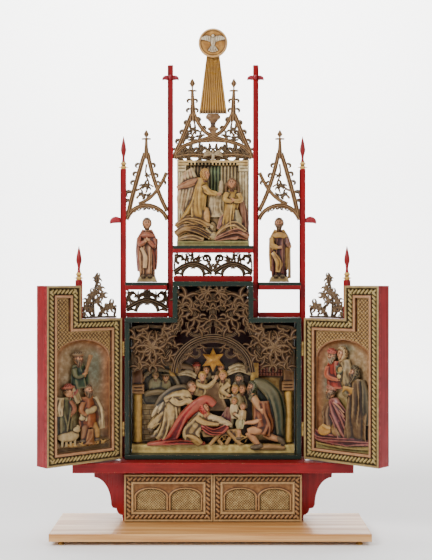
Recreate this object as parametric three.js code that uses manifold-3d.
// A carved and painted winged altar for the home, on a pine board with four small feet.
// Millimetres. X runs to the viewer's right, Y to the back and Z up.
import * as THREE from "three";
import { mergeVertices } from "three/addons/utils/BufferGeometryUtils.js";
import Module from "manifold-3d";

const wasm = await Module();
wasm.setup();

// Driving dimensions
const GAP = 0.3;
const board = { width: 765, depth: 238, thick: 18, shift: -6 };
const foot = { radius: 8.5, height: 10, inX: 28, inY: 15 };
const predella = { front: 29, back: 105, inner: 205, top: 155, backThick: 8 };
const door = { half: 220.7, seam: 0.6, z0: 30, z1: 146.5, front: 8.7, back: 28.4, band: 24 };
const table = { half: 345.5, front: -21, back: 111, thick: 24.7 };
const shrine = {
  half: 221, front: 29, depth: 80, floor: 180, shoulder: 535, tower: 101, head: 626, wall: 12, back: 6,
};
const hinge = { x: 224, y: 28.5, radius: 2.6, half: 17.5, upper: 458, lower: 257 };
const wing = {
  near: 3, far: 223.2, step: 125.2, z0: 183, low: 535, high: 616, face: 0.5, back: 46.5, open: 41.4,
};
const frame = { band: 30, front: 0.5, back: 12 };
const post = { size: 14, y0: 80, y1: 94, outer: 228.6, inner: 108.4 };
const bay = { side0: 115.8, side1: 221.2, centre: 101 };
const ledge = { front: 48, back: 106, side0: 605, side1: 624, centre0: 698.6, centre1: 716.4 };
const rail = { side0: 535.3, side1: 547.5, centre0: 626.3, centre1: 640 };
const carve = { y0: 82, y1: 92 };

const paint = {
  red: [0x9c1c20, 0.5],
  green: [0x1f2b22, 0.55],
  gold: [0x8a7448, 0.55],
  wood: [0xb98f5c, 0.6],
  stain: [0x6b5236, 0.6],
  gilt: [0xb08a3c, 0.45],
  brass: [0xb08d4a, 0.35],
};
const altar = new THREE.Group();
altar.name = "home_altar";

// Shapes
function slab(x0, x1, y0, y1, z0, z1) {
  const box = new THREE.BoxGeometry(x1 - x0, y1 - y0, z1 - z0);
  return box.translate((x0 + x1) / 2, (y0 + y1) / 2, (z0 + z1) / 2);
}

function vectors(points) {
  return points.map(([x, z]) => new THREE.Vector2(x, z));
}

// An upright outline with its front at y0 and its back at y1
function plate(outline, y0, y1, holes = []) {
  const points = vectors(outline);
  if (THREE.ShapeUtils.isClockWise(points)) {
    points.reverse();
  }
  const shape = new THREE.Shape(points);
  shape.holes = holes.map((hole) => new THREE.Path(vectors(hole)));
  const body = new THREE.ExtrudeGeometry(shape, { depth: y1 - y0, bevelEnabled: false });
  return body.rotateX(Math.PI / 2).translate(0, y1, 0);
}

// A carved rib along a curve, as wide as w0 at its start and w1 at its end
function rib(points, w0, w1, y0, y1, steps = 6) {
  const curve = new THREE.SplineCurve(vectors(points));
  const left = [];
  const right = [];
  for (let i = 0; i <= steps; i += 1) {
    const t = i / steps;
    const p = curve.getPoint(t);
    const d = curve.getTangent(t);
    const h = THREE.MathUtils.lerp(w0, w1, t) / 2;
    left.push([p.x - d.y * h, p.y + d.x * h]);
    right.unshift([p.x + d.y * h, p.y - d.x * h]);
  }
  return plate([...left, ...right], y0, y1);
}

function arc(cx, cz, rx, rz, from, to, steps) {
  const points = [];
  for (let i = 0; i <= steps; i += 1) {
    const a = ((from + ((to - from) * i) / steps) * Math.PI) / 180;
    points.push([cx + rx * Math.cos(a), cz + rz * Math.sin(a)]);
  }
  return points;
}

// A scroll that winds from radius r0 in to r1
function scroll(cx, cz, r0, r1, from, turn, w0, w1, y0, y1, steps = 8) {
  const points = [];
  for (let i = 0; i <= steps; i += 1) {
    const t = i / steps;
    const a = ((from + turn * t) * Math.PI) / 180;
    const r = r0 + (r1 - r0) * t;
    points.push([cx + r * Math.cos(a), cz + r * Math.sin(a)]);
  }
  return rib(points, w0, w1, y0, y1, steps);
}

// A pointed leaf from its stalk at x, z
function leaf(x, z, length, width, angle, y0, y1) {
  const a = (angle * Math.PI) / 180;
  const at = (u, v) => [x + u * Math.cos(a) - v * Math.sin(a), z + u * Math.sin(a) + v * Math.cos(a)];
  const w = width / 2;
  return plate([at(0, 0), at(length * 0.35, w), at(length, 0), at(length * 0.4, -w)], y0, y1);
}

function limb(a, b, ra, rb, sides = 6, flute = 0) {
  const from = new THREE.Vector3(...a);
  const to = new THREE.Vector3(...b);
  const along = to.clone().sub(from);
  const body = new THREE.CylinderGeometry(rb, ra, along.length(), sides);
  if (flute > 0) {
    const p = body.attributes.position;
    for (let i = 0; i < p.count; i += 1) {
      const turn = Math.round((Math.atan2(p.getX(i), p.getZ(i)) / (2 * Math.PI)) * sides);
      const k = turn % 2 === 0 ? 1 : 1 - flute;
      p.setXYZ(i, p.getX(i) * k, p.getY(i), p.getZ(i) * k);
    }
  }
  const turn = new THREE.Quaternion().setFromUnitVectors(
    new THREE.Vector3(0, 1, 0), along.clone().normalize(),
  );
  const middle = from.add(to).multiplyScalar(0.5);
  return body.applyQuaternion(turn).translate(middle.x, middle.y, middle.z);
}

function ball(c, rx, ry, rz, detail = 0) {
  return new THREE.IcosahedronGeometry(1, detail).scale(rx, ry, rz).translate(...c);
}

// A turned piece standing on x, y from radius and height pairs
function turned(x, y, profile, sides = 8) {
  const body = new THREE.LatheGeometry(vectors(profile), sides);
  return body.rotateX(Math.PI / 2).translate(x, y, 0);
}

// Joining and cutting
function solid(geometry) {
  const bare = geometry.index ? geometry.toNonIndexed() : geometry.clone();
  bare.deleteAttribute("normal");
  bare.deleteAttribute("uv");
  const merged = mergeVertices(bare, 1e-4);
  const whole = [];
  const index = merged.index.array;
  for (let i = 0; i < index.length; i += 3) {
    const [a, b, c] = [index[i], index[i + 1], index[i + 2]];
    if (a !== b && b !== c && c !== a) {
      whole.push(a, b, c);
    }
  }
  return new wasm.Manifold(
    new wasm.Mesh({
      numProp: 3, vertProperties: merged.attributes.position.array, triVerts: new Uint32Array(whole),
    }),
  );
}

function skin(body) {
  const mesh = body.getMesh();
  const geometry = new THREE.BufferGeometry();
  geometry.setAttribute(
    "position", new THREE.BufferAttribute(new Float32Array(mesh.vertProperties), 3),
  );
  geometry.setIndex(new THREE.BufferAttribute(new Uint32Array(mesh.triVerts), 1));
  return geometry;
}

function join(list) {
  return skin(list.map(solid).reduce((a, b) => a.add(b)));
}

function cut(body, tools) {
  return skin(tools.map(solid).reduce((a, b) => a.subtract(b), solid(body)));
}

function keep(body, limits) {
  return skin(solid(body).intersect(solid(limits)));
}

function add(name, geometry, colour, parent = altar) {
  const [color, roughness] = paint[colour];
  const mesh = new THREE.Mesh(geometry, new THREE.MeshStandardMaterial({ color, roughness }));
  mesh.name = name;
  parent.add(mesh);
}

// Cloth hanging through level rings of x, y, z and radius, folded in its lowest two
function drape(rings, sides, fold, rise) {
  const profile = [[0, rings[0][2]], ...rings.map(([, , z, r]) => [r, z]), [0, rings.at(-1)[2] + rise]];
  const body = turned(0, 0, profile, sides);
  const p = body.attributes.position;
  for (let i = 0; i < p.count; i += 1) {
    const level = THREE.MathUtils.clamp((i % profile.length) - 1, 0, rings.length - 1);
    const inFold = level < 2 && Math.floor(i / profile.length) % 2 === 1;
    const k = inFold ? 1 - fold : 1;
    p.setXYZ(i, p.getX(i) * k + rings[level][0], p.getY(i) * k + rings[level][1], p.getZ(i));
  }
  return body;
}

// A draped figure from hem to head; hands are where the arms reach
function figure({
  hem, waist, neck, head, hemR, waistR = hemR * 0.66, neckR = hemR * 0.55, headR, hands = [], sides = 6,
}) {
  const body = drape([
    [...hem, hemR],
    [...waist, waistR],
    [neck[0], neck[1], neck[2] - neckR * 0.5, neckR],
    [head[0], head[1], head[2] - headR * 0.8, headR * 0.55],
    [head[0], head[1], head[2] + headR * 0.2, headR],
  ], sides, 0.16, headR);
  const arms = hands.map((hand) => {
    const side = Math.sign(hand[0] - neck[0]) || 1;
    return limb(
      [neck[0] + side * neckR * 0.6, neck[1], neck[2] - neckR * 0.7], hand, neckR * 0.5, neckR * 0.3, 4,
    );
  });
  return [body, ...arms];
}

// Board and feet
const footTop = foot.height - GAP;
for (const [sy, row] of [[-1, "front"], [1, "back"]]) {
  for (const [sx, side] of [[-1, "left"], [1, "right"]]) {
    const x = board.shift + sx * (board.width / 2 - foot.inX);
    const y = sy * (board.depth / 2 - foot.inY);
    const profile = [[0, 0], [5.5, 0], [foot.radius, 3.2], [5.2, 6.2], [7, footTop], [0, footTop]];
    add(`foot_${row}_${side}`, turned(x, y, profile, 6), "brass");
  }
}
const boardTop = foot.height + board.thick;
const bx = board.width / 2;
add(
  "base_board",
  slab(board.shift - bx, board.shift + bx, -board.depth / 2, board.depth / 2, foot.height, boardTop),
  "wood",
);

// Predella: two cheeks with a long and a short hollow, a back and a table above
const standZ = boardTop + GAP;
for (const [s, side] of [[-1, "left"], [1, "right"]]) {
  const outline = [
    [predella.inner, standZ], [225, standZ], [227, 42],
    ...arc(227, 58, 14, 16, 270, 360, 3).map(([x, z]) => [x, z]),
    [251, 60], [255, 68],
    ...arc(298, 68, 43, 68, 176, 100, 6),
    [297.5, 137], [297.5, predella.top - GAP], [predella.inner, predella.top - GAP],
  ].map(([x, z]) => [s * x, z]);
  add(`predella_cheek_${side}`, plate(outline, predella.front, predella.back), "red");
}
const inner = predella.inner - GAP;
const backY = predella.back - predella.backThick;
add("predella_back", slab(-inner, inner, backY, predella.back, standZ, predella.top - GAP), "red");
add(
  "altar_table",
  slab(-table.half, table.half, table.front, table.back, predella.top, predella.top + table.thick),
  "red",
);

// Predella doors: a rope frame around two blind arches
function ring(x0, x1, z0, z1, inset, width, y0, y1) {
  const edge = (d) => [[x0 + d, z0 + d], [x1 - d, z0 + d], [x1 - d, z1 - d], [x0 + d, z1 - d]];
  return plate(edge(inset), y0, y1, [edge(inset + width)]);
}
for (const [s, side] of [[-1, "left"], [1, "right"]]) {
  const x0 = s < 0 ? -door.half : door.seam;
  const x1 = s < 0 ? -door.seam : door.half;
  const middle = (x0 + x1) / 2;
  const half = 37.5;
  const holes = [-1, 1].map((k) => {
    const c = middle + k * (half + 5.5);
    return [[c - half, 57], [c + half, 57], ...arc(c, 89, half, 21, 0, 180, 6)];
  });
  const b = door.band;
  const panel = [
    [x0 + b - 1, door.z0 + b - 1], [x1 - b + 1, door.z0 + b - 1], [x1 - b + 1, door.z1 - b + 1],
    [x0 + b - 1, door.z1 - b + 1],
  ];
  const leafBody = join([
    slab(x0, x1, 19, door.back, door.z0, door.z1),
    ring(x0, x1, door.z0, door.z1, 0, b, 12, 19.5),
    ring(x0, x1, door.z0, door.z1, 0, 5, door.front, 12.5),
    ring(x0, x1, door.z0, door.z1, 18, 6, door.front + 1, 12.5),
    cut(plate(panel, 15, 19.5), holes.map((hole) => plate(hole, 14, 20))),
  ]);
  add(`predella_door_${side}`, leafBody, "gold");
}

// Shrine: a case in the outline of an upturned T
const sf = shrine.front;
const sb = sf + shrine.depth;
const w = shrine.wall;
const top = shrine.shoulder;
add(
  "shrine_floor", slab(-shrine.half, shrine.half, sf, sb, shrine.floor + GAP, shrine.floor + w),
  "green",
);
for (const [s, side] of [[-1, "left"], [1, "right"]]) {
  const span = (a, b) => (s < 0 ? [-b, -a] : [a, b]);
  add(
    `shrine_side_${side}`,
    slab(...span(shrine.half - w, shrine.half), sf, sb, shrine.floor + w + GAP, top - w - GAP), "green",
  );
  add(
    `shrine_shoulder_${side}`, slab(...span(shrine.tower - w, shrine.half), sf, sb, top - w, top),
    "green",
  );
  add(
    `shrine_riser_${side}`,
    slab(...span(shrine.tower - w, shrine.tower), sf, sb, top + GAP, shrine.head - w - GAP), "green",
  );
}
add("shrine_head", slab(-shrine.tower, shrine.tower, sf, sb, shrine.head - w, shrine.head), "green");
const backHalf = shrine.half - w - GAP;
const towerHalf = shrine.tower - w - GAP;
const tee = (half, narrow, z0, z1, z2) => [
  [-half, z0], [half, z0], [half, z1], [narrow, z1], [narrow, z2], [-narrow, z2], [-narrow, z1],
  [-half, z1],
];
const inTop = top - w - GAP;
add(
  "shrine_back",
  plate(
    tee(backHalf, towerHalf, shrine.floor + w + GAP, inTop, shrine.head - w - GAP), sb - shrine.back,
    sb,
  ),
  "red",
);

// Nativity relief at the back of the shrine
const base = 94;
const ground = 213;
const nativity = [
  slab(-206, 206, base, sb - shrine.back - GAP, shrine.floor + w + GAP, 432),
  slab(-206, 206, 62, base + 1, shrine.floor + w + GAP, 206),
  slab(-178, 110, 66, base + 1, 205, ground),
];
for (const s of [-1, 1]) {
  const capital = s < 0 ? 352 : 364;
  const outline = [
    [184, 200], [204, 200], [204, capital - 12], [206, capital + 7], [202, capital + 7], [202, 420],
    [184, 420], [184, capital + 7], [180, capital + 7], [184, capital - 12],
  ];
  nativity.push(plate(outline.map(([x, z]) => [s * x, z]), 66, base + 1));
}
// kneeling mother with her mantle spread behind her
nativity.push(...figure({
  hem: [-62, 76, 212], waist: [-52, 74, 252], neck: [-38, 72, 288], head: [-25, 70, 304],
  hemR: 33, waistR: 20, neckR: 12, headR: 12, hands: [[20, 62, 264]],
}));
nativity.push(limb([-118, 78, 214], [-62, 74, 250], 8, 22, 6, 0.15));
// child in the manger on crossed legs
nativity.push(limb([-14, 62, 287], [46, 64, 262], 10, 12, 5), ball([-18, 60, 292], 9, 9, 9));
nativity.push(slab(-18, 70, 62, base + 1, 246, 262));
nativity.push(limb([-2, 68, 212], [32, 68, 252], 6, 6, 4), limb([60, 70, 214], [22, 70, 252], 6, 6, 4));
// bending angel with long wings
nativity.push(...figure({
  hem: [-132, 78, 224], waist: [-104, 74, 284], neck: [-72, 72, 332], head: [-52, 70, 354],
  hemR: 21, waistR: 17, neckR: 14, headR: 13, hands: [[-34, 66, 314]],
}));
nativity.push(leaf(-70, 346, 92, 34, 216, 74, base + 1));
// cloaked man bending to the manger, on one knee
nativity.push(...figure({
  hem: [158, 78, 214], waist: [150, 76, 284], neck: [122, 72, 336], head: [100, 68, 356],
  hemR: 26, waistR: 28, neckR: 20, headR: 13, hands: [[66, 62, 274]],
}));
nativity.push(
  limb([140, 68, 262], [88, 62, 246], 18, 12, 5), limb([90, 62, 248], [122, 64, 210], 11, 7, 4),
);
// crowd of angels and children, close together behind
nativity.push(
  plate(
    [[-40, 290], [96, 290], [92, 344], [74, 372], [36, 388], [6, 396], [-36, 404], [-54, 384]], 82,
    base + 1,
  ),
);
const crowd = [[-42, 404], [-14, 402], [20, 404], [62, 380], [66, 350]];
for (const [x, z] of crowd) {
  nativity.push(ball([x, 76, z], 9, 12, 10.5));
}
nativity.push(leaf(36, 400, 62, 26, 8, 74, base + 1));
nativity.push(ball([62, 74, 318], 16, 14, 30), ball([80, 72, 292], 12, 12, 22));
for (const [x, z] of [[-150, 382], [-124, 376]]) {
  nativity.push(ball([x, 90, z], 10, 9, 20));
}
nativity.push(rib(arc(-140, 332, 42, 66, 0, 180, 6), 7, 7, 84, base + 1, 4));
// six-pointed star over the scene
const star = [];
for (let i = 0; i < 12; i += 1) {
  const a = (i * Math.PI) / 6 + Math.PI / 2;
  const r = i % 2 === 0 ? 29 : 17;
  star.push([r * Math.cos(a), 427 + r * Math.sin(a)]);
}
nativity.push(plate(star, 64, 72), slab(-4, 4, 71, base + 1, 400, 430));
const recess = slab(-205.7, 205.7, 40, sb - shrine.back - GAP - 0.2, shrine.floor + w + GAP + 0.1, 458);
add("nativity_relief", keep(join(nativity), recess), "gold");

// Openwork of scrolls and leaves in the head of the shrine
const ty0 = 36;
const ty1 = 48;
const tracery = [
  rib(arc(0, 392, 101, 96, 8, 172, 8), 12, 12, ty0, ty1, 8),
  rib(arc(0, 548, 80, 46, 168, 12, 6), 10, 10, ty0, ty1, 4),
];
for (const s of [-1, 1]) {
  const m = (list) => list.map(([x, z]) => [s * x, z]);
  const d = (a) => (s > 0 ? a : 180 - a);
  tracery.push(
    scroll(s * 44, 560, 30, 10, d(250), s * -200, 9, 7, ty0, ty1, 3),
    scroll(s * 150, 470, 38, 10, d(200), s * -250, 10, 7, ty0, ty1, 4),
    rib(m([[78, 558], [82, 518], [60, 494], [26, 512], [12, 540]]), 10, 8, ty0, ty1, 3),
    rib(m([[10, 484], [5, 592]]), 10, 10, ty0, ty1, 1),
    rib(m([[84, 512], [112, 462], [136, 436]]), 10, 9, ty0, ty1, 2),
    rib(m([[84, 516], [207, 512]]), 9, 9, ty0, ty1, 1),
    rib(m([[199, 514], [203, 399]]), 9, 8, ty0, ty1, 1),
    rib(m([[112, 452], [140, 416], [203, 402]]), 10, 8, ty0, ty1, 2),
  );
  const leaves = [
    [150, 470, 42, 20, 50], [150, 464, 36, 18, 250], [118, 446, 36, 16, 70], [44, 560, 34, 18, 60],
    [160, 408, 32, 16, 110],
  ];
  for (const [x, z, length, width, angle] of leaves) {
    tracery.push(leaf(s * x, z, length, width, d(angle), ty0, ty1));
  }
}
const inside = plate(
  tee(backHalf - 0.3, towerHalf - 0.3, 394, inTop - 0.3, shrine.head - w - 0.6), 20, 60,
);
add("shrine_tracery", keep(join(tracery), inside), "stain");

// Hinges: one half on the shrine's side and one on the wing's edge
function hingeHalf(s, z, upperHalf, onWing) {
  const z0 = upperHalf ? z + 0.2 : z - hinge.half;
  const z1 = upperHalf ? z + hinge.half : z - 0.2;
  const k = onWing ? s : -s;
  const near = onWing ? 0.6 : 0.8;
  const plan = [[k * 2.7, near], [k * 2.7, 17], [k * 1.2, 17], [k * 1.2, 2.3]];
  for (const a of [110, 165, 220, 275, 330]) {
    const t = (a * Math.PI) / 180;
    plan.push([k * hinge.radius * Math.cos(t), hinge.radius * Math.sin(t)]);
  }
  const points = vectors(plan);
  if (THREE.ShapeUtils.isClockWise(points)) {
    points.reverse();
  }
  const body = new THREE.ExtrudeGeometry(
    new THREE.Shape(points), { depth: z1 - z0, bevelEnabled: false },
  );
  return body.translate(0, 0, z0);
}
for (const [s, side] of [[-1, "left"], [1, "right"]]) {
  for (const [z, level] of [[hinge.upper, "upper"], [hinge.lower, "lower"]]) {
    add(
      `hinge_${side}_${level}_case`, hingeHalf(s, z, false, false).translate(s * hinge.x, hinge.y, 0),
      "brass",
    );
  }
}

// Posts: four-sided, with turned spears or leaf crosses
function spear(x, y, z, scale) {
  const pairs = [
    [0, -1], [6, -1], [7.4, 5], [5, 9.5], [7.6, 14], [3.2, 28], [7, 48], [0, 84],
  ];
  return turned(x, y, pairs.map(([r, h]) => [r, z + h * scale]), 6);
}
const half = post.size / 2;
const midY = (post.y0 + post.y1) / 2;
for (const [s, side] of [[-1, "left"], [1, "right"]]) {
  const x = s * post.outer;
  const hook = [[0, 774], [14, 780], [22, 772], [28, 762], [28, 776], [22, 788], [12, 794], [0, 790]];
  add(`post_outer_${side}`, join([
    slab(x - half, x + half, post.y0, post.y1, shrine.floor + GAP, 913),
    spear(x, midY, 913, 1),
    slab(x - 12, x + 12, midY - 1.2, midY + 1.2, 916, 919),
    slab(x - 1.2, x + 1.2, midY - 12, midY + 12, 916, 919),
    plate(hook.map(([a, b]) => [x + s * (half - 1 + a), b]), midY - 4, midY + 4),
  ]), "red");
  const xi = s * post.inner;
  const leafCross = (k) => [
    [0, 1142], [k * 10, 1146], [k * 18, 1144], [k * 25, 1134], [k * 24, 1148], [k * 15, 1157],
    [0, 1158],
  ];
  const cross = [-1, 1].map((k) => plate(leafCross(k).map(([a, b]) => [a, b]), -4, 4));
  const across = [-1, 1].map(
    (k) => plate(leafCross(k).map(([a, b]) => [a, b]), -4, 4).rotateZ(Math.PI / 2),
  );
  add(`post_inner_${side}`, join([
    slab(xi - half + 0.5, xi + half - 0.5, post.y0 + 0.5, post.y1 - 0.5, top + GAP, 1178),
    ...[...cross, ...across].map((part) => part.translate(xi, midY, 0)),
  ]), "red");
}

// Rails, ledges and their openwork
for (const [s, side] of [[-1, "left"], [1, "right"]]) {
  const [x0, x1] = s < 0 ? [-bay.side1, -bay.side0] : [bay.side0, bay.side1];
  add(`rail_${side}`, slab(x0, x1, post.y0 + 1, post.y1 - 1, rail.side0, rail.side1), "red");
  add(`ledge_${side}`, slab(x0, x1, ledge.front, ledge.back, ledge.side0, ledge.side1), "red");
}
add(
  "rail_centre", slab(-bay.centre, bay.centre, post.y0 + 1, post.y1 - 1, rail.centre0, rail.centre1),
  "red",
);
add(
  "ledge_centre", slab(-bay.centre, bay.centre, ledge.front, ledge.back, ledge.centre0, ledge.centre1),
  "red",
);

function archRibs(c, z, reach) {
  return [
    rib([[c - reach, z + 9], [c, z + 31], [c + reach, z + 9]], 13, 13, 83, 91, 3),
    rib([[c - reach, z + 6], [c - 26, z + 3]], 9, 6, 83, 91, 1),
    rib([[c + 26, z + 3], [c + reach, z + 6]], 6, 9, 83, 91, 1),
    rib(arc(c, z, 28, 27, 8, 172, 4), 8, 8, 83, 91, 4),
  ];
}
const fretZ = rail.side1 + GAP;
const fretTop = ledge.side0 - GAP;
const midX = -(bay.side0 + bay.side1) / 2;
const leftFret = archRibs(midX, fretZ, 52);
for (const s of [-1, 1]) {
  const m = (list) => list.map(([x, z]) => [midX + s * x, fretZ + z]);
  const d = (a) => (s > 0 ? a : 180 - a);
  leftFret.push(
    scroll(midX + s * 36, fretZ + 41, 13, 5, d(-80), s * 200, 6, 5, 83, 91, 3),
    rib(m([[6, 28], [6, 58]]), 7, 7, 83, 91, 1),
    rib(m([[6, 55], [52, 55]]), 5, 5, 83, 91, 1),
    rib(m([[51, 6], [50, 56]]), 5, 5, 83, 91, 1),
  );
}
const leftWindow = slab(-bay.side1 + GAP, -bay.side0 - GAP, 80, 94, fretZ, fretTop);
add("fretwork_left", keep(join(leftFret), leftWindow), "stain");
const cz = rail.centre1 + GAP;
const centreFret = [
  ...archRibs(-51, cz, 51), ...archRibs(51, cz, 51), slab(-6, 6, 83, 91, cz + 2, cz + 18),
];
for (const s of [-1, 1]) {
  const m = (list) => list.map(([x, z]) => [s * x, cz + z]);
  const d = (a) => (s > 0 ? a : 180 - a);
  centreFret.push(
    scroll(s * 84, cz + 42, 12, 5, d(-80), s * 200, 6, 5, 83, 91, 3),
    rib(m([[4, 14], [20, 56]]), 8, 6, 83, 91, 1),
    rib(m([[61, 28], [61, 58]]), 7, 7, 83, 91, 1),
    rib(m([[18, 56], [97, 56]]), 4, 4, 83, 91, 1),
    rib(m([[97, 6], [97, 56]]), 5, 5, 83, 91, 1),
  );
}
const centreWindow = slab(-bay.centre + GAP, bay.centre - GAP, 80, 94, cz, ledge.centre0 - GAP);
add("fretwork_centre", keep(join(centreFret), centreWindow), "stain");

// Annunciation relief on the middle ledge
const az = ledge.centre1 + GAP;
const annunciation = [
  slab(-92, 92, 86, 95, az, 935),
  slab(-92, 92, 62, 87, az, 729),
  slab(-89, -70, 78, 87, 728, 921),
  slab(67, 88, 78, 87, 728, 921),
  slab(-91, 91, 75, 87, 922, 935),
  slab(-14, 28, 72, 87, 788, 852),
  limb([8, 78, 728], [8, 78, 789], 14, 10, 6),
];
annunciation.push(...figure({
  hem: [-36, 74, 740], waist: [-33, 72, 820], neck: [-28, 70, 876], head: [-20, 67, 899],
  hemR: 23, waistR: 17, neckR: 14, headR: 13, hands: [[10, 64, 846]],
}));
annunciation.push(leaf(-36, 882, 70, 30, 214, 74, 87), leaf(-58, 866, 66, 26, 252, 74, 87));
annunciation.push(
  plate([[-90, 728], [6, 728], [8, 742], [-16, 754], [-12, 778], [-44, 792], [-88, 776]], 68, 87),
);
annunciation.push(...figure({
  hem: [54, 74, 740], waist: [50, 72, 806], neck: [49, 70, 850], head: [48, 67, 873],
  hemR: 24, waistR: 16, neckR: 13, headR: 13, hands: [[40, 62, 830]],
}));
annunciation.push(
  plate([[6, 729], [86, 728], [84, 768], [60, 774], [36, 806], [24, 796], [30, 762], [8, 744]], 70, 87),
);
add(
  "annunciation_relief", keep(join(annunciation), slab(-91.7, 91.7, 50, 94.7, az + 0.1, 934.7)), "gold",
);

// Gables of crossing crocketed ribs
const g0 = carve.y0;
const g1 = carve.y1;
function crockets(s, spots) {
  return spots.map(([x, z, angle]) => leaf(s * x, z, 15, 8, s < 0 ? 180 - angle : angle, g0, g1));
}
for (const [s, side] of [[-1, "left"], [1, "right"]]) {
  const p = (list) => list.map(([x, z]) => [s * x, z]);
  const gable = [
    rib(p([[220.6, 792], [199, 816], [170, 826], [138, 816], [116.4, 792]]), 10, 10, g0, g1, 6),
    rib(p([[218, 800], [199, 871], [181, 930], [173, 954]]), 11, 10, g0, g1, 3),
    rib(p([[118.4, 812], [143, 861], [161, 928], [168, 954]]), 10, 10, g0, g1, 3),
    rib(p([[182, 826], [146, 854], [119, 902]]), 9, 9, g0, g1, 3),
    plate(
      p([
        [162, 940], [178, 940], [172.5, 986], [180, 990], [174, 994], [170, 1012], [166, 994],
        [160, 990], [167.5, 986],
      ]),
      g0, g1,
    ),
    rib(p([[171, 918], [169, 826]]), 6, 6, g0, g1, 1),
    rib(p([[198, 862], [207, 873], [217, 868]]), 8, 7, g0, g1, 2),
    ...crockets(s, [[182, 922, 20], [160, 922, 160], [133, 880, 110]]),
    ...crockets(s, [[200, 814, 260], [170, 824, 270], [140, 814, 280]]),
  ];
  const limits = slab(...(s < 0 ? [-221, -116] : [116, 221]), 70, 100, 780, 1020);
  add(`gable_${side}`, keep(join(gable), limits), "gold");
}
const stem = [[7, 990], [8, 1008], [14, 1015], [7, 1022], [14, 1040], [19, 1044], [19, 1053.5]];
const middleGable = [plate([...stem, ...stem.map(([x, z]) => [-x, z]).reverse()], g0, g1)];
for (const s of [-1, 1]) {
  const p = (list) => list.map(([x, z]) => [s * x, z]);
  middleGable.push(
    rib(p([[98, 942], [84, 978], [70, 1012], [57, 1050]]), 11, 10, g0, g1, 3),
    rib(p([[50, 1062], [34, 1026], [8, 998], [-22, 985], [-58, 978], [-94, 960]]), 10, 10, g0, g1, 5),
    plate(
      p([[42, 1040], [62, 1040], [56, 1112], [60, 1128], [53, 1143], [46, 1128], [50, 1112]]), g0, g1,
    ),
    rib(p([[51, 1046], [49, 978]]), 6, 6, g0, g1, 1),
    ...crockets(s, [[66, 1024, 45], [80, 992, 40], [37, 1034, 120]]),
    ...crockets(s, [[54, 1080, 25], [52, 1080, 155]]),
    rib(p([[98, 948], [70, 956], [30, 962], [-4, 960]]), 20, 22, g0, g1, 3),
    leaf(s * 24, 964, 40, 18, s > 0 ? 20 : 160, g0, g1),
  );
}
middleGable.push(
  plate([[-20, 962], [-6, 950], [0, 938], [6, 950], [20, 962], [5, 960], [0, 966], [-5, 960]], 75, g1),
);
add("gable_centre", keep(join(middleGable), slab(-100.7, 100.7, 70, 100, 936, 1200)), "gold");

// Saints standing on the side ledges
for (const [s, side] of [[-1, "left"], [1, "right"]]) {
  const x = s * 168;
  const z = ledge.side1 + GAP;
  const saint = [
    plate([[x - 26, z], [x + 26, z], [x + 21, z + 13], [x - 21, z + 13]], 64, 96),
    ...figure({
      hem: [x, 80, z + 12], waist: [x - s * 2, 80, z + 78], neck: [x, 79, z + 128],
      head: [x, 76, z + 149],
      hemR: 20, waistR: 19, neckR: 15, headR: 13, hands: [[x - 14, 62, z + 104], [x + 14, 62, z + 106]],
    }),
    limb([x - s * 14, 80, z + 40], [x - s * 12, 80, z + 124], 15, 13, 6),
  ];
  if (s > 0) {
    saint.push(
      plate([[x + 19, z + 10], [x + 28, z + 10], [x + 30, z + 96], [x + 26, z + 100]], 66, 70),
      slab(x + 8, x + 25, 66, 80, z + 10, z + 16),
    );
    saint.push(limb([x + 16, 68, z + 92], [x + 28, 68, z + 94], 6, 6, 4));
  } else {
    saint.push(slab(x - 4, x + 16, 58, 64, z + 94, z + 110));
  }
  add(`saint_${side}`, join(saint), "gold");
}

// Glory: a sheaf of rays below a disc with a dove
const lines = 9;
const sheaf = plate([[-35.5, 1054], [35.5, 1054], [12, 1240], [-12, 1240]], 82, 93);
const grooves = [];
for (let i = 1; i < lines; i += 1) {
  const t = i / lines - 0.5;
  grooves.push(limb([t * 70, 82, 1052], [t * 24, 82, 1242], 2, 1.4, 4));
}
add("glory_rays", cut(sheaf, grooves), "gilt");
const discY = 81.7;
const disc = [
  turned(
    0, 0, [[0, 0], [37, 0], [37, 6], [34.5, 8], [0, 8]], 16,
  ).rotateX(Math.PI / 2).translate(0, discY, 1233),
  ball([0, discY - 8, 1236], 6, 5, 11),
  ball([0, discY - 10, 1247], 4, 4, 4),
  leaf(0, 1238, 30, 15, 12, discY - 10.5, discY - 7),
  leaf(0, 1238, 30, 15, 168, discY - 10.5, discY - 7),
  plate([[-10, 1220], [0, 1216], [10, 1220], [3, 1232], [-3, 1232]], discY - 10.5, discY - 7),
];
add("glory_disc", join(disc), "gilt");

// Wings: a red tray, a rope frame, a relief and the post and cresting on the low part
const lShape = (d) => [
  [wing.near + d, wing.z0 + d], [wing.far - d, wing.z0 + d], [wing.far - d, wing.high - d],
  [wing.step + d, wing.high - d], [wing.step + d, wing.low - d], [wing.near + d, wing.low - d],
];
function shepherds() {
  return [
    ...figure({
      hem: [-122, 22, 352], waist: [-120, 18, 392], neck: [-122, 17, 414], head: [-126, 15, 434],
      hemR: 18, headR: 12, hands: [[-102, 10, 404]],
    }),
    ...figure({
      hem: [-166, 20, 246], waist: [-166, 17, 310], neck: [-162, 16, 340], head: [-156, 14, 358],
      hemR: 17, headR: 12, hands: [[-142, 9, 322]],
    }),
    ...figure({
      hem: [-92, 20, 246], waist: [-96, 17, 300], neck: [-98, 16, 336], head: [-98, 14, 356], hemR: 22,
      headR: 12, hands: [[-110, 9, 300]],
    }),
    limb([-112, 11, 288], [-68, 11, 326], 12, 13, 5),
    ball([-62, 12, 332], 10, 10, 11),
    limb([-76, 14, 222], [-74, 14, 296], 8, 10, 5),
    limb([-172, 12, 246], [-134, 12, 252], 13, 12, 5),
    ball([-128, 12, 260], 9, 9, 10),
  ];
}
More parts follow.
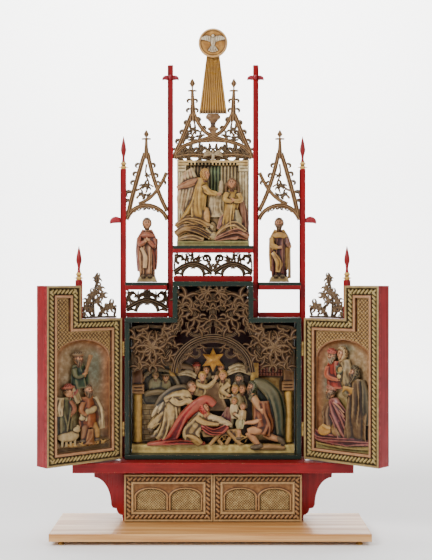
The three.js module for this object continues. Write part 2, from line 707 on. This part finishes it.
function kings() {
  return [
    ...figure({
      hem: [86, 22, 350], waist: [84, 19, 384], neck: [82, 18, 420], head: [80, 15, 440], hemR: 18,
      headR: 13,
    }),
    ...figure({
      hem: [116, 22, 350], waist: [116, 19, 390], neck: [112, 18, 424], head: [106, 15, 446], hemR: 20,
      headR: 14,
    }),
    ...figure({
      hem: [152, 22, 236], waist: [150, 18, 330], neck: [150, 17, 380], head: [146, 14, 404], hemR: 24,
      headR: 14, hands: [[128, 8, 362]],
    }),
    slab(118, 142, 6, 24, 354, 370),
    ...figure({
      hem: [98, 20, 236], waist: [92, 16, 290], neck: [82, 14, 330], head: [76, 12, 352], hemR: 30,
      headR: 15, hands: [[66, 8, 300]],
    }),
    limb([44, 20, 238], [170, 20, 232], 14, 13, 6, 0.15),
    ball([64, 14, 262], 18, 14, 18),
  ];
}
for (const [s, side] of [[-1, "left"], [1, "right"]]) {
  const group = new THREE.Group();
  group.name = `wing_${side}`;
  group.position.set(s * hinge.x, hinge.y, 0);
  group.rotation.z = (-s * wing.open * Math.PI) / 180;
  altar.add(group);
  const at = (list) => list.map(([u, z]) => [s * u, z]);
  const tray = cut(plate(at(lShape(0)), frame.back + GAP, wing.back), [plate(at(lShape(12)), 0, 40)]);
  add(`wing_${side}_case`, tray, "red", group);
  const moulding = join([
    plate(at(lShape(0)), 4, frame.back, [at(lShape(frame.band))]),
    plate(at(lShape(0)), frame.front, 4.5, [at(lShape(6))]),
    plate(at(lShape(9)), 1.2, 4.5, [at(lShape(20))]),
    plate(at(lShape(23.5)), frame.front + 1, 4.5, [at(lShape(frame.band))]),
  ]);
  add(`wing_${side}_frame`, moulding, "gold", group);
  const panel = plate(at(lShape(12.4)), 14, 39.6);
  const niche = plate(at([[33, 214], [193, 214], ...arc(113, 433, 80, 50, 0, 180, 8)]), 5, 26);
  const people = s < 0 ? shepherds() : kings();
  const floor = slab(...(s < 0 ? [-192, -34] : [34, 192]), 14, 28, 213, 222);
  const scene = keep(join([...people, floor]), plate(at(lShape(30.4)), 2.5, 30));
  add(`wing_${side}_relief`, join([cut(panel, [niche]), scene]), "gold", group);
  const px = s * (wing.step - 7.3);
  const py = 23;
  add(`wing_${side}_post`, join([
    slab(px - 6.5, px + 6.5, py - 6.5, py + 6.5, wing.low + GAP, 630),
    spear(px, py, 630, 0.99),
    slab(px - 14, px + 14, py - 1.2, py + 1.2, 633, 636),
    slab(px - 1.2, px + 1.2, py - 14, py + 14, 633, 636),
  ]), "red", group);
  const c0 = py - 5;
  const c1 = py + 5;
  const crest = [
    plate(at([[4, 535.3], [110.5, 535.3], [110.5, 541], [4, 541]]), c0, c1),
    rib(at([[66, 538], [68, 575], [62, 622]]), 9, 9, c0, c1, 2),
    plate(at([[62, 616], [74, 632], [62, 647], [50, 632]]), c0, c1),
    rib(at([[60, 540], [50, 564], [64, 606]]), 7, 7, c0, c1, 2),
    rib(at([[8, 560], [34, 556], [58, 582]]), 8, 7, c0, c1, 2),
    rib(at([[108, 562], [90, 558], [94, 540]]), 8, 7, c0, c1, 2),
    ...[
      [66, 600, 28, 15, 30], [60, 600, 30, 16, 160], [54, 578, 34, 18, 190], [70, 574, 30, 16, -10],
      [90, 558, 30, 16, 110],
      [30, 556, 32, 16, 130],
    ].map(
      ([u, z, length, width, angle]) => leaf(
        s * u, z, length, width, s > 0 ? angle : 180 - angle, c0, c1,
      ),
    ),
  ];
  const clear = slab(...(s < 0 ? [-110.4, -4] : [4, 110.4]), 5, 40, wing.low + GAP, 650);
  add(`wing_${side}_cresting`, keep(join(crest), clear), "stain", group);
  for (const [z, level] of [[hinge.upper, "upper"], [hinge.lower, "lower"]]) {
    add(`hinge_${side}_${level}_wing`, hingeHalf(s, z, true, true), "brass", group);
  }
}

export default altar;
